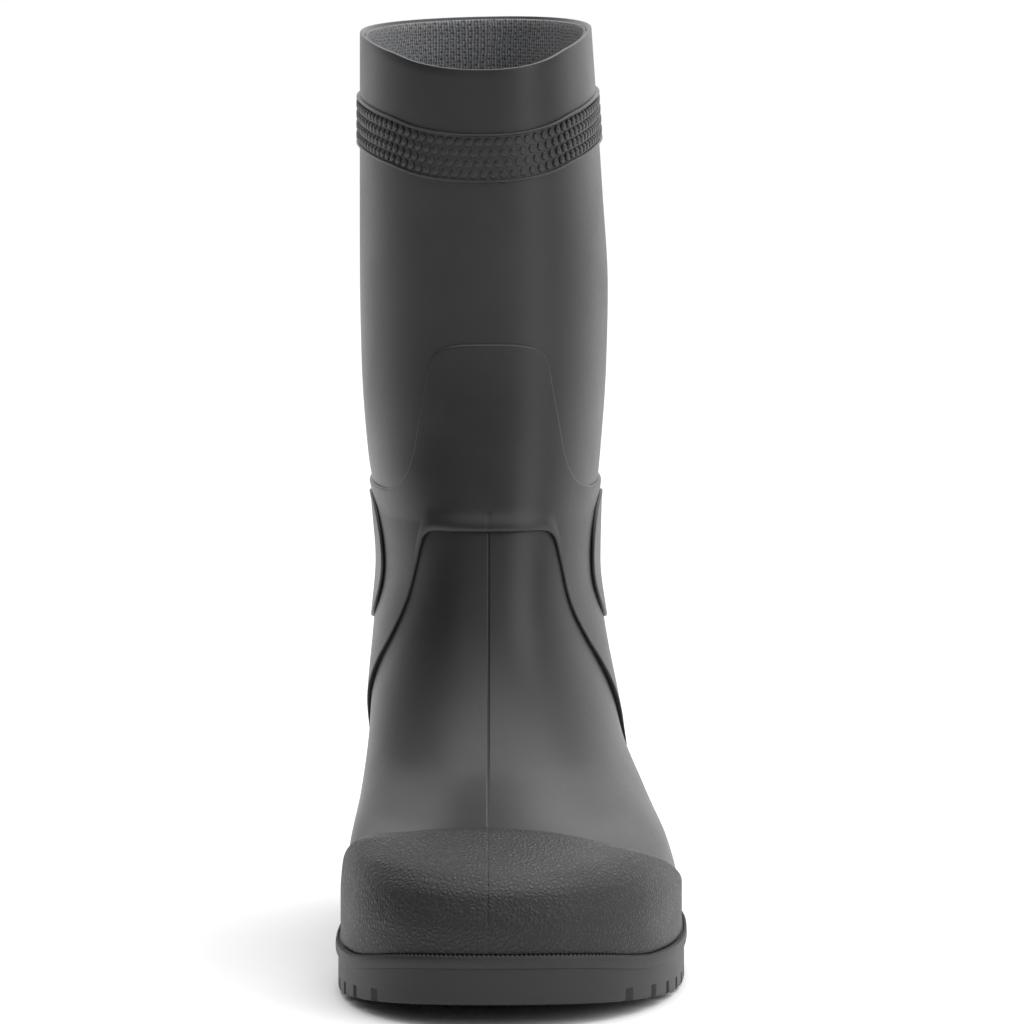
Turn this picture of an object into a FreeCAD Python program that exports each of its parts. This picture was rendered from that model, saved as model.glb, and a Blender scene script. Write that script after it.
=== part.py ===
import FreeCAD, Part
import functools
import math
import os
from FreeCAD import Vector

# Rubber rain boot for the left foot, as separate pieces.
# Millimetres. +Z is up, the toe points to -Y, the big-toe side is -X.
# The origin is on the ground under the middle of the boot.

# ---- Driving dimensions ----------------------------------------------------
boot_length = 304.0          # toe of the welt to the tip of the kick-off spur
boot_height = 321.0          # ground to the highest point of the leg opening, at the back
leg_width = 87.6             # side to side, half way up the leg
foot_width = 113.2           # side to side over the ball of the foot, without the welt
instep_height = 152.0        # ground to the step where the vamp meets the ankle cover

upper_wall = 2.6             # rubber of the upper
lining_thickness = 1.2       # knitted lining
lining_gap = 0.1             # between the upper and its lining
lining_setback = 2.0         # the lining stops this far below the cut edge

rim_dip_front = 12.0         # how far the opening dips at the shin
rim_dip_side = 2.0           # and at the sides
rim_shoulder = 4.5           # more dip at the sides, towards the shin
rim_tilt = 1.1               # degrees, how the opening and the grip band rise to the outer side
collar_height = 22.0         # plain collar between the opening and the grip band
band_height = 17.0           # grip band with its two ridges
band_field = 0.5             # how proud the band's field stands
band_ridge = 1.0             # how proud its two ridges stand
band_ridge_width = 1.6

cover_thickness = 1.5        # ankle cover over the upper
cover_rise = 9.0             # its top edge round the leg, above the instep step
tab_height = 54.0            # its tab on the shin, above that edge
tab_top_width = 44.0
tab_foot_width = 56.0
tab_corner = 8.0             # corner radius at the top of the tab
tab_flare = 11.0             # from there it runs out into the cover's top edge
tab_reach = 12.0             # how far behind the middle of the boot the tab's cut reaches

guard_drop = 16.0            # middle of the two ankle guards, below the instep step
guard_from_middle = 38.0     # their middle, behind the middle of the boot
guard_long = 54.0            # front to back
guard_tall = 45.0
guard_thickness = 1.1

toe_guard_thickness = 1.5
toe_guard_top = 61.5         # height of its top edge on the centre line
toe_guard_setback = 49.0     # from the toe of the boot to that top edge
toe_guard_slope = 27.0       # degrees, how its top edge falls towards the back

spur_length = 6.4            # kick-off spur, out from the heel
spur_width = 42.0
spur_bottom = 40.0
spur_height = 11.0

welt_width = 3.2             # welt, out from the upper
welt_height = 5.0
sole_inset = 0.9             # the sole's side wall stands back from the welt's edge
tread_depth = 4.5
tread_groove = 3.2           # width of a groove between lugs
tread_pitch = 12.6           # from one groove to the next
tread_angle = 16.0           # degrees, how the grooves sweep back from the centre
toe_bumper = 12.0            # the tread's first groove is this far behind the toe

board_thickness = 2.0        # insole board
board_gap = 0.3              # its edge to the upper
insole_foam_thickness = 4.0
insole_cover_thickness = 0.8
insole_side_gap = 3.0        # loose insole to the lining
insole_rest_gap = 0.3        # loose insole to the board

# ---- Shape of the last -----------------------------------------------------
centre_line = -8.0           # x of the front and back centre lines
half = boot_length / 2
leg_height = boot_height - instep_height
cover_top = instep_height + cover_rise
tab_top = cover_top + tab_height

# Outlines against station: 0 is the ground, 1 the instep step, 2 the leg opening.
# Distances along Y are shares of the boot's length.
shin_outline = [(0.0, -0.4885), (0.19, -0.4885), (0.27, -0.478), (0.315, -0.456), (0.345, -0.424),
                (0.40, -0.343), (0.50, -0.247), (0.66, -0.171), (0.82, -0.129), (1.0, -0.101),
                (1.2, -0.080), (1.45, -0.070), (2.0, -0.068)]
heel_outline = [(0.0, 0.4737), (0.22, 0.4737), (0.40, 0.464), (0.60, 0.440), (0.85, 0.412),
                (1.1, 0.405), (1.45, 0.416), (2.0, 0.418)]
# Half widths on either side of the centre line: in the foot as shares of the foot's
# width, in the leg as shares of the leg's width.
inner_foot = [(0.0, 0.431), (0.20, 0.431), (0.31, 0.419), (0.40, 0.394), (0.50, 0.378),
              (0.60, 0.370), (0.73, 0.350), (0.86, 0.332), (1.0, 0.346)]
outer_foot = [(0.0, 0.573), (0.20, 0.573), (0.29, 0.546), (0.39, 0.480), (0.50, 0.414),
              (0.60, 0.384), (0.73, 0.348), (0.86, 0.324), (1.0, 0.328)]
inner_leg = [(1.0, 0.447), (1.11, 0.488), (1.3, 0.515), (1.5, 0.522), (2.0, 0.520)]
outer_leg = [(1.0, 0.424), (1.11, 0.447), (1.3, 0.472), (1.45, 0.478), (1.66, 0.455), (2.0, 0.410)]

oval_power = 2.25            # roundness of the leg's section, 2 is an ellipse
toe_power = 2.35             # bluntness of the toe in plan
inner_widest = 0.29          # where the foot is widest, from toe 0 to heel 1
outer_widest = 0.38
inner_heel = 0.68            # heel half width as a share of the widest half width
outer_heel = 0.54
heel_start = 0.80            # where the heel's round starts, from toe 0 to heel 1
foot_until = 0.22            # station up to which the section is a foot's
leg_from = 0.85              # station from which it is a leg's
points_per_side = 15

# Front edge of the ankle cover in the side view, from the step down to the sole: shares
# of the boot's length and of the instep's height
cover_outline = [(-0.079, 0.993), (-0.054, 0.928), (-0.033, 0.796), (0.020, 0.684),
                 (0.066, 0.586), (0.092, 0.461), (0.109, 0.296), (0.118, 0.033)]
# Side view of the sole: shares of the boot's length against height
sole_top_outline = [(-0.60, 22.5), (-0.485, 19.5), (-0.36, 13.6), (-0.20, 12.4), (-0.03, 15.0),
                    (0.13, 22.0), (0.27, 26.0), (0.60, 27.0)]
tread_outline = [(-0.60, 12.0), (-0.50, 7.8), (-0.43, 5.2), (-0.36, 3.1), (-0.28, 1.1), (-0.20, 0.0)]
waist_front = 0.03           # the raised waist, shares of the boot's length
waist_back = 0.17
waist_height = 7.0
waist_fillet = 5.0

reach = 400.0                # size of the blocks that trim the pieces


# ---- Curves and sections ---------------------------------------------------
def through(points, at):
    """Value at a place on the smooth line through points; it never overshoots them."""
    if at <= points[0][0]:
        return points[0][1]
    if at >= points[-1][0]:
        return points[-1][1]
    slopes = []
    for (x0, y0), (x1, y1) in zip(points, points[1:]):
        slopes.append((y1 - y0) / (x1 - x0))
    tangents = [slopes[0]]
    for before, after in zip(slopes, slopes[1:]):
        level = before * after <= 0
        tangents.append(0.0 if level else 2 * before * after / (before + after))
    tangents.append(slopes[-1])
    k = max(i for i in range(len(points) - 1) if points[i][0] <= at)
    (x0, y0), (x1, y1) = points[k], points[k + 1]
    step = x1 - x0
    t = (at - x0) / step
    rise = y0 * (1 + 2 * t) * (1 - t) ** 2 + y1 * t * t * (3 - 2 * t)
    return rise + step * (tangents[k] * t * (1 - t) ** 2 - tangents[k + 1] * t * t * (1 - t))


def ease(low, high, at):
    """0 below low, 1 above high, and smooth between."""
    t = min(1.0, max(0.0, (at - low) / (high - low)))
    return t * t * (3 - 2 * t)


def station(height):
    if height < instep_height:
        return height / instep_height
    return min(2.0, 1 + (height - instep_height) / leg_height)


def half_width(at, foot, leg):
    if at < 1:
        return foot_width * through(foot, at)
    return leg_width * through(leg, at)


def oval(share):
    """Half width of the leg's section, from front 0 to back 1."""
    return (1 - abs(2 * share - 1) ** oval_power) ** (1 / oval_power)


def foot_plan(share, widest, heel):
    """Half width of a foot's plan, from toe 0 to heel 1."""
    if share < widest:
        return (1 - ((widest - share) / widest) ** toe_power) ** (1 / toe_power)
    width = 1 - (1 - heel) * ease(widest, heel_start, share)
    if share > heel_start:
        width *= math.sqrt(max(0.0, 1 - ((share - heel_start) / (1 - heel_start)) ** 2))
    return width


def section_points(height, grow):
    """Points round the boot's outside at a height, grown outwards by some millimetres."""
    at = max(0.0, station(height - grow))
    front = boot_length * through(shin_outline, at) - grow
    back = boot_length * through(heel_outline, at) + grow
    inner = half_width(at, inner_foot, inner_leg) + grow
    outer = half_width(at, outer_foot, outer_leg) + grow
    leg_share = ease(foot_until, leg_from, at)
    points = []
    for side, reach_out, widest, heel in ((1, outer, outer_widest, outer_heel),
                                          (-1, inner, inner_widest, inner_heel)):
        run = []
        for i in range(points_per_side + 1):
            share = (1 - math.cos(math.pi * i / points_per_side)) / 2
            width = leg_share * oval(share) + (1 - leg_share) * foot_plan(share, widest, heel)
            run.append(Vector(centre_line + side * reach_out * width, front + share * (back - front), height))
        points += run[:-1] if side == 1 else run[:0:-1]
    return points


def ring(points):
    curve = Part.BSplineCurve()
    curve.interpolate(Points=points, PeriodicFlag=True)
    return Part.Wire([curve.toShape()])


foot_stations = [0.06, 0.12, 0.19, 0.25, 0.29, 0.33, 0.37, 0.42, 0.48, 0.56, 0.65, 0.75, 0.87]
leg_stations = [1.0, 1.12, 1.25, 1.4, 1.55, 1.7, 1.85, 2.0]
spare_end = 16.0             # the form runs on past both ends, to be trimmed off


@functools.lru_cache(maxsize=None)
def body(grow):
    """The closed form of the boot, grown outwards. A smaller one is longer at both ends."""
    levels = [grow - spare_end]
    levels += [at * instep_height for at in foot_stations]
    levels += [instep_height + (at - 1) * leg_height for at in leg_stations]
    levels += [boot_height + spare_end / 2, boot_height + spare_end - grow]
    return Part.makeLoft([ring(section_points(level, grow)) for level in levels], True, False)


def plan_block(grow):
    """Upright block with the plan of the foot."""
    wire = ring(section_points(0.0, grow))
    return Part.Face(wire).extrude(Vector(0, 0, reach))


# ---- Trimming blocks -------------------------------------------------------
def side_block(wire):
    """Block right through the boot in X, from an outline drawn in the side view."""
    return Part.Face(wire).extrude(Vector(2 * reach, 0, 0))


def side_spline(points):
    curve = Part.BSplineCurve()
    curve.interpolate(Points=[Vector(-reach, y, z) for y, z in points])
    return curve.toShape()


def line(start, end):
    return Part.LineSegment(start, end).toShape()


def under(points):
    """Everything below a line drawn in the side view."""
    edge = side_spline(points)
    left = edge.valueAt(edge.FirstParameter)
    right = edge.valueAt(edge.LastParameter)
    low_left = Vector(-reach, left.y, -reach)
    low_right = Vector(-reach, right.y, -reach)
    wire = Part.Wire([edge, line(right, low_right), line(low_right, low_left), line(low_left, left)])
    return side_block(wire)


def shifted(points, rise):
    return [(y, z + rise) for y, z in points]


def under_rim(rise):
    """Everything below the leg opening's line, moved up or down."""
    block = under(shifted(rim_line, rise))
    block.rotate(Vector(centre_line, 0, boot_height), Vector(0, 1, 0), -rim_tilt)
    return block


rim_line = [(-boot_length, boot_height - 2 * rim_dip_front),
            (boot_length * shin_outline[-1][1], boot_height - rim_dip_front),
            (0.03 * boot_length, boot_height - rim_dip_side - rim_shoulder),
            (0.17 * boot_length, boot_height - rim_dip_side),
            (boot_length * heel_outline[-1][1], boot_height),
            (boot_length, boot_height)]
sole_top = [(boot_length * share, z) for share, z in sole_top_outline]
welt_top = shifted(sole_top, welt_height)


# ---- The upper and its lining ----------------------------------------------
def make_upper():
    hollow = body(-upper_wall)
    return body(0).cut(hollow).common(under_rim(0)).cut(under(sole_top))


def make_lining():
    outside = body(-upper_wall - lining_gap)
    inside = body(-upper_wall - lining_gap - lining_thickness)
    tube = outside.cut(inside).common(under_rim(-lining_setback))
    return tube.cut(under(shifted(sole_top, board_thickness)))


# ---- Pieces laid on the upper ----------------------------------------------
def layer(low, high, zone):
    """What lies in a zone of a skin over the boot's outside, between two offsets."""
    return body(high).common(zone).cut(body(low))


def make_grip_band():
    top = -collar_height
    bottom = top - band_height
    zone = under_rim(top).cut(under_rim(bottom))
    between = under_rim(top - band_ridge_width).cut(under_rim(bottom + band_ridge_width))
    return layer(0, band_ridge, zone).cut(between.cut(body(band_field)))


def edges_through(block, from_centre, height):
    """The block's front-to-back edges at a distance either side of the centre line."""
    found = []
    for edge in block.Edges:
        middle = edge.CenterOfMass
        level = abs(middle.z - height) < 0.01
        if level and abs(abs(middle.x - centre_line) - from_centre) < 0.01 and edge.BoundBox.YLength > half:
            found.append(edge)
    return found


def tab_block():
    """The shin tab, drawn in the front view and cut through the front half of the leg."""
    y = -half
    low = cover_top - tab_flare
    top_half = tab_top_width / 2
    foot_half = tab_foot_width / 2
    outline = [Vector(centre_line - top_half, y, tab_top),
               Vector(centre_line + top_half, y, tab_top),
               Vector(centre_line + foot_half, y, cover_top),
               Vector(centre_line + foot_half + tab_flare, y, cover_top),
               Vector(centre_line + foot_half + tab_flare, y, low),
               Vector(centre_line - foot_half - tab_flare, y, low),
               Vector(centre_line - foot_half - tab_flare, y, cover_top),
               Vector(centre_line - foot_half, y, cover_top)]
    block = Part.Face(Part.makePolygon(outline + outline[:1])).extrude(Vector(0, half + tab_reach, 0))
    block = block.makeFillet(tab_corner, edges_through(block, top_half, tab_top))
    return block.makeFillet(0.95 * tab_flare, edges_through(block, foot_half, cover_top))


def make_ankle_cover():
    edge = side_spline([(y * boot_length, z * instep_height) for y, z in cover_outline])
    top = edge.valueAt(edge.FirstParameter)
    foot = edge.valueAt(edge.LastParameter)
    far_front = Vector(-reach, -half, top.z)
    corners = [Vector(-reach, boot_length, foot.z), Vector(-reach, boot_length, boot_height),
               Vector(-reach, -half, boot_height), far_front, top]
    sides = [edge, line(foot, corners[0])]
    for start, end in zip(corners, corners[1:]):
        sides.append(line(start, end))
    behind_edge = side_block(Part.Wire(sides))
    low = under([(-boot_length, cover_top), (0.0, cover_top), (boot_length, cover_top)])
    zone = behind_edge.common(low.fuse(tab_block())).cut(under(welt_top))
    return layer(0, cover_thickness, zone)


def make_ankle_guard(side):
    ellipse = Part.Ellipse(Vector(0, 0, 0), guard_long / 2, guard_tall / 2)
    face = Part.Face(Part.Wire([ellipse.toShape()]))
    face.rotate(Vector(0, 0, 0), Vector(1, 0, 0), 90)
    face.rotate(Vector(0, 0, 0), Vector(0, 0, 1), 90)
    face.translate(Vector(centre_line, guard_from_middle, instep_height - guard_drop))
    zone = face.extrude(Vector(side * reach, 0, 0))
    return layer(cover_thickness, cover_thickness + guard_thickness, zone)


def make_toe_guard():
    edge_y = -half + toe_guard_setback
    fall = math.tan(math.radians(toe_guard_slope))
    front = Vector(-reach, -boot_length, toe_guard_top + fall * (boot_length + edge_y))
    back = Vector(-reach, boot_length, toe_guard_top - fall * (boot_length - edge_y))
    corners = [front, back, Vector(-reach, -boot_length, back.z), front]
    zone = side_block(Part.makePolygon(corners)).cut(under(welt_top))
    return layer(0, toe_guard_thickness, zone)


def make_kickoff_spur():
    tip_y = boot_length * heel_outline[0][1] + cover_thickness + spur_length
    zone = Part.makeBox(spur_width, spur_width, spur_height,
                        Vector(centre_line - spur_width / 2, tip_y - spur_width, spur_bottom))
    return layer(cover_thickness, cover_thickness + spur_length, zone)


# ---- The sole --------------------------------------------------------------
def make_welt():
    bead = plan_block(welt_width).common(under(welt_top)).cut(under(sole_top))
    return bead.cut(body(0))


def chevron(y):
    """One groove: two arms that sweep back from the centre line."""
    arms = []
    for side in (1, -1):
        arm = Part.makeBox(reach, tread_groove, reach, Vector(0, y, -reach / 2))
        if side == -1:
            arm.translate(Vector(-reach, 0, 0))
        arm.rotate(Vector(0, y, 0), Vector(0, 0, 1), side * tread_angle)
        arm.translate(Vector(centre_line, 0, 0))
        arms.append(arm)
    return arms


def tread_grooves():
    grooves = []
    y = -half + toe_bumper
    while y < half - tread_pitch:
        grooves += chevron(y)
        y += tread_pitch
    channel = Part.makeBox(tread_groove, boot_length - 2 * toe_bumper, reach,
                           Vector(centre_line - tread_groove / 2, -half + toe_bumper, -reach / 2))
    return grooves + [channel]


def make_outsole():
    block = plan_block(welt_width - sole_inset).common(under(sole_top))
    toe = [(boot_length * share, z) for share, z in tread_outline]
    flat = [(0.0, 0.0), (boot_length, 0.0)]
    block = block.cut(under(toe))
    waist_span = (waist_back - waist_front) * boot_length
    waist = Part.makeBox(2 * reach, waist_span, waist_height,
                         Vector(-reach, waist_front * boot_length, 0))
    ceiling = [edge for edge in waist.Edges
               if edge.BoundBox.XLength > reach and edge.BoundBox.ZMin > waist_height - 0.01]
    block = block.cut(waist.makeFillet(waist_fillet, ceiling))
    tread_zone = under(shifted(toe + flat, tread_depth))
    grooves = tread_grooves()
    return block.cut(grooves[0].multiFuse(grooves[1:]).common(tread_zone))


# ---- Inside the foot -------------------------------------------------------
def footbed(grow, low, high):
    """A layer of the foot's plan between two heights above the sole."""
    block = plan_block(grow).common(under(shifted(sole_top, high)))
    return block.cut(under(shifted(sole_top, low)))


def make_insole_board():
    return footbed(-upper_wall - board_gap, 0, board_thickness)


loose_inset = -upper_wall - lining_gap - lining_thickness - insole_side_gap
loose_bottom = board_thickness + insole_rest_gap


def make_insole_foam():
    return footbed(loose_inset, loose_bottom, loose_bottom + insole_foam_thickness)


def make_insole_cover():
    low = loose_bottom + insole_foam_thickness
    return footbed(loose_inset, low, low + insole_cover_thickness)


# ---- Build -----------------------------------------------------------------
pieces = {
    "upper_shell": make_upper,
    "lining": make_lining,
    "grip_band": make_grip_band,
    "ankle_cover": make_ankle_cover,
    "ankle_guard_inner": lambda: make_ankle_guard(-1),
    "ankle_guard_outer": lambda: make_ankle_guard(1),
    "toe_guard": make_toe_guard,
    "kickoff_spur": make_kickoff_spur,
    "welt": make_welt,
    "outsole": make_outsole,
    "insole_board": make_insole_board,
    "insole_foam": make_insole_foam,
    "insole_cover": make_insole_cover,
}

os.makedirs("parts", exist_ok=True)
for name, make in pieces.items():
    shape = make()
    if len(shape.Solids) == 1:
        shape = shape.Solids[0]
    box = shape.BoundBox
    print(name, "solids", len(shape.Solids), "valid", shape.isValid(), "cm3", round(shape.Volume / 1000, 1),
          "x", round(box.XMin, 1), round(box.XMax, 1), "y", round(box.YMin, 1), round(box.YMax, 1),
          "z", round(box.ZMin, 1), round(box.ZMax, 1))
    shape.exportStep("parts/" + name + ".step")
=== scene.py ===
import math

import bpy
import numpy as np
from bpy.props import FloatProperty, FloatVectorProperty, IntProperty, PointerProperty
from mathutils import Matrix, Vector


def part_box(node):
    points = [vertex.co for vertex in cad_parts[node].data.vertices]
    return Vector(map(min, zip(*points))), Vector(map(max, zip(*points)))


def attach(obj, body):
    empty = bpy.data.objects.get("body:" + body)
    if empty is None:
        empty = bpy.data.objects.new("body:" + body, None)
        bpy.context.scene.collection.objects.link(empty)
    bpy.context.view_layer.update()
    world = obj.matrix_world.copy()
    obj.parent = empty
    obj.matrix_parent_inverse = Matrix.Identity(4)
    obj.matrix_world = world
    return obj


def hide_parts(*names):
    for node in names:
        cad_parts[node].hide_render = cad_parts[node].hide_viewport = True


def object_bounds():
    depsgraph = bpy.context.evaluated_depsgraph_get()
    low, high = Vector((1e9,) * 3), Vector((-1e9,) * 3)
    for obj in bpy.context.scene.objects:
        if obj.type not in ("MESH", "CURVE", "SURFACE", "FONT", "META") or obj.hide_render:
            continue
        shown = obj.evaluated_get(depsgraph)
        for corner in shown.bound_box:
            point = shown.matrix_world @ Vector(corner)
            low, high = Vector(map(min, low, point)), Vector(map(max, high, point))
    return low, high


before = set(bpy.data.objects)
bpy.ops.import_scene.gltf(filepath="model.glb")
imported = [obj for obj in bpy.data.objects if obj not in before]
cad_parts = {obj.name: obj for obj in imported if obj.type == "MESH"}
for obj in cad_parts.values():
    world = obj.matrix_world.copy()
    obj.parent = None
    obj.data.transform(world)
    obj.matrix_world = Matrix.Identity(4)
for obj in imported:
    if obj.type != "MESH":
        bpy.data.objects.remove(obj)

bl_info = {
    "name": "Rubber Rain Boot",
    "version": (1, 0, 0),
    "blender": (4, 5, 0),
    "location": "View3D > Sidebar > Rain Boot",
    "description": "Builds a moulded rubber rain boot with its lining, sole and loose insole",
    "category": "Add Mesh",
}

MM = 0.001
CAD_BOX = [list(corner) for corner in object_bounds()]
BOOT_LENGTH = CAD_BOX[1][1] - CAD_BOX[0][1]
BOOT_HEIGHT = CAD_BOX[1][2]
CENTRE_LINE = -8 * MM        # x of the front and back centre lines


def linear(hex_colour):
    """sRGB hex, such as 1c1c1e, as linear red, green and blue."""
    channels = [int(hex_colour[i:i + 2], 16) / 255 for i in (0, 2, 4)]
    return [c / 12.92 if c <= 0.04045 else ((c + 0.055) / 1.055) ** 2.4 for c in channels]


# ---- Sizes and colours -----------------------------------------------------
def length(name, description, default_mm):
    return FloatProperty(name=name, description=description, default=default_mm * MM,
                         min=0, unit="LENGTH", subtype="DISTANCE", precision=5)


def colour(name, description, hex_colour):
    return FloatVectorProperty(name=name, description=description, default=linear(hex_colour),
                               size=3, min=0, max=1, subtype="COLOR")


class BootSizes(bpy.types.PropertyGroup):
    instep_height: length("Instep height", "Ground to the step over the instep", 152)
    leg_width: length("Leg width", "Side to side, half way up the leg", 87.6)
    upper_wall: length("Upper wall", "Rubber of the upper", 2.6)
    rim_wall: length("Wall at the rim", "Rubber at the edge of the leg opening", 1.5)
    lining_thickness: length("Lining", "Knitted lining", 1.2)
    cover_thickness: length("Ankle cover", "How proud the ankle cover stands", 1.5)
    guard_thickness: length("Ankle guards", "How proud the ankle guards stand", 1.1)
    toe_guard_thickness: length("Toe guard", "How proud the toe guard stands", 1.5)
    collar_height: length("Collar", "Plain collar above the grip band", 22)
    band_height: length("Grip band", "Height of the band with its ridges", 17)
    pip_pitch: length("Pip pitch", "From one grip pip to the next", 3.4)
    pip_height: length("Pip height", "How far a grip pip stands out of the band", 0.9)
    mould_line: length("Mould line", "Depth of the seam left by the mould", 0.34)
    welt_width: length("Welt width", "Welt, out from the upper", 3.2)
    welt_height: length("Welt height", "Height of the welt", 5.0)
    tread_depth: length("Tread depth", "Depth of the outsole's grooves", 4.5)
    tread_groove: length("Tread groove", "Width of a groove", 3.2)
    tread_pitch: length("Tread pitch", "From one groove to the next", 12.6)
    notch_pitch: length("Notch pitch", "From one notch of the welt to the next", 1.5)
    pip_rows: IntProperty(name="Pip rows", description="Rows of pips on the band", default=4, min=1)


class BootColours(bpy.types.PropertyGroup):
    upper: colour("Upper", "Satin black of the upper", "19191a")
    grained: colour("Toe guard", "Black of the grained toe guard", "19191a")
    sole: colour("Sole", "Black of the sole", "19191a")
    lining: colour("Lining", "Grey yarn of the lining", "8d8e91")
    board: colour("Insole board", "Pressed fibre", "9c8b6f")
    foam: colour("Insole foam", "Dark foam", "3a3b3e")
    footbed: colour("Insole cover", "Grey knit", "6f7074")


def sizes():
    return bpy.context.scene.boot_sizes


def colours():
    return bpy.context.scene.boot_colours


# ---- The boot's form -------------------------------------------------------
# Outlines against station: 0 is the ground, 1 the instep step, 2 the leg opening.
# Distances along Y are shares of the boot's length, half widths shares of the foot's
# or the leg's width.
SHIN = [(0.0, -0.4885), (0.19, -0.4885), (0.27, -0.478), (0.315, -0.456), (0.345, -0.424),
        (0.40, -0.343), (0.50, -0.247), (0.66, -0.171), (0.82, -0.129), (1.0, -0.101),
        (1.2, -0.080), (1.45, -0.070), (2.0, -0.068)]
HEEL = [(0.0, 0.4737), (0.22, 0.4737), (0.40, 0.464), (0.60, 0.440), (0.85, 0.412),
        (1.1, 0.405), (1.45, 0.416), (2.0, 0.418)]
INNER_FOOT = [(0.0, 0.431), (0.20, 0.431), (0.31, 0.419), (0.40, 0.394), (0.50, 0.378),
              (0.60, 0.370), (0.73, 0.350), (0.86, 0.332), (1.0, 0.346)]
OUTER_FOOT = [(0.0, 0.573), (0.20, 0.573), (0.29, 0.546), (0.39, 0.480), (0.50, 0.414),
              (0.60, 0.384), (0.73, 0.348), (0.86, 0.324), (1.0, 0.328)]
INNER_LEG = [(1.0, 0.447), (1.11, 0.488), (1.3, 0.515), (1.5, 0.522), (2.0, 0.520)]
OUTER_LEG = [(1.0, 0.424), (1.11, 0.447), (1.3, 0.472), (1.45, 0.478), (1.66, 0.455), (2.0, 0.410)]
SOLE_TOP = [(-0.60, 22.5), (-0.485, 19.5), (-0.36, 13.6), (-0.20, 12.4), (-0.03, 15.0),
            (0.13, 22.0), (0.27, 26.0), (0.60, 27.0)]
FOOT_WIDTH = 113.2 * MM
OVAL_POWER = 2.25            # roundness of the leg's section, 2 is an ellipse
TOE_POWER = 2.35             # bluntness of the toe in plan
WIDEST = {1: 0.38, -1: 0.29}          # outer and inner side, from toe 0 to heel 1
HEEL_WIDTH = {1: 0.54, -1: 0.68}      # share of the widest half width
HEEL_START = 0.80
FOOT_UNTIL = 0.22
LEG_FROM = 0.85
RIM_DIP_FRONT = 12 * MM
RIM_DIP_SIDE = 2 * MM
RIM_TILT = math.radians(1.1)
RIM_DROP = 0.4 * MM          # the moulded rim is rounded off below the designed one
RIM_THINS_OVER = 16 * MM     # the wall thins to the rim over this height
SEAM_HALF_WIDTH = 0.25 * MM  # of the mould line
WELT_TUCK = 0.8 * MM         # pieces laid on the upper end this far below the welt's top
LINING_GAP = 0.1 * MM        # between the upper and its lining
INSOLE_SIDE_GAP = 3.0 * MM   # between the lining and the loose insole
INSOLE_REST = 2.3 * MM       # underside of the loose insole, above the sole
FOAM_THICKNESS = 4.0 * MM
FOOTBED_THICKNESS = 0.8 * MM


def through(points, at):
    """Values at places on the smooth line through points; it never overshoots them."""
    xs, ys = np.array(points, float).T
    slopes = np.diff(ys) / np.diff(xs)
    both = slopes[:-1] + slopes[1:]
    turning = slopes[:-1] * slopes[1:] <= 0
    inner = np.where(turning, 0, 2 * slopes[:-1] * slopes[1:] / np.where(turning, 1, both))
    tangents = np.concatenate([slopes[:1], inner, slopes[-1:]])
    at = np.clip(at, xs[0], xs[-1])
    k = np.clip(np.searchsorted(xs, at, side="right") - 1, 0, len(xs) - 2)
    step = xs[k + 1] - xs[k]
    t = (at - xs[k]) / step
    rise = ys[k] * (1 + 2 * t) * (1 - t) ** 2 + ys[k + 1] * t * t * (3 - 2 * t)
    return rise + step * (tangents[k] * t * (1 - t) ** 2 - tangents[k + 1] * t * t * (1 - t))


def ease(low, high, at):
    """0 below low, 1 above high, and smooth between."""
    t = np.clip((at - low) / (high - low), 0, 1)
    return t * t * (3 - 2 * t)


def station(height):
    instep = sizes().instep_height
    leg = BOOT_HEIGHT - instep
    return np.clip(np.where(height < instep, height / instep, 1 + (height - instep) / leg), 0, 2)


def half_width(at, foot, leg):
    return np.where(at < 1, FOOT_WIDTH * through(foot, at), sizes().leg_width * through(leg, at))


def foot_plan(share, side):
    """Half width of a foot's plan, from toe 0 to heel 1."""
    widest, heel = WIDEST[side], HEEL_WIDTH[side]
    toe = (1 - np.clip((widest - share) / widest, 0, 1) ** TOE_POWER) ** (1 / TOE_POWER)
    taper = 1 - (1 - heel) * ease(widest, HEEL_START, share)
    round_heel = np.sqrt(np.clip(1 - np.clip((share - HEEL_START) / (1 - HEEL_START), 0, 1) ** 2, 0, 1))
    return np.where(share < widest, toe, taper * round_heel)


def surface(turn, height, grow=0.0):
    """Points on the boot's outside, grown outwards. Turn is 0 at the toe and shin, 1 at
    the back round the outer side and -1 at the back round the inner side."""
    turn = np.asarray(turn, float)
    turn = np.where(turn > 1, turn - 2, np.where(turn < -1, turn + 2, turn))
    turn, height, grow = np.broadcast_arrays(turn, np.asarray(height, float), np.asarray(grow, float))
    at = station(height - grow)
    front = BOOT_LENGTH * through(SHIN, at) - grow
    back = BOOT_LENGTH * through(HEEL, at) + grow
    share = (1 - np.cos(math.pi * np.abs(turn))) / 2
    oval = (1 - np.abs(2 * share - 1) ** OVAL_POWER) ** (1 / OVAL_POWER)
    leg_share = ease(FOOT_UNTIL, LEG_FROM, at)
    outer = half_width(at, OUTER_FOOT, OUTER_LEG) + grow
    inner = half_width(at, INNER_FOOT, INNER_LEG) + grow
    outer_plan = leg_share * oval + (1 - leg_share) * foot_plan(share, 1)
    inner_plan = leg_share * oval + (1 - leg_share) * foot_plan(share, -1)
    x = CENTRE_LINE + np.where(turn >= 0, outer * outer_plan, -inner * inner_plan)
    return np.stack([x, front + share * (back - front), height], axis=-1)


def turn_at_y(y, height, side):
    """The turn at which the side of the boot passes a place along Y."""
    at = station(height)
    front = BOOT_LENGTH * through(SHIN, at)
    back = BOOT_LENGTH * through(HEEL, at)
    share = np.clip((y - front) / (back - front), 0, 1)
    return side * np.arccos(1 - 2 * share) / math.pi


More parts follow.
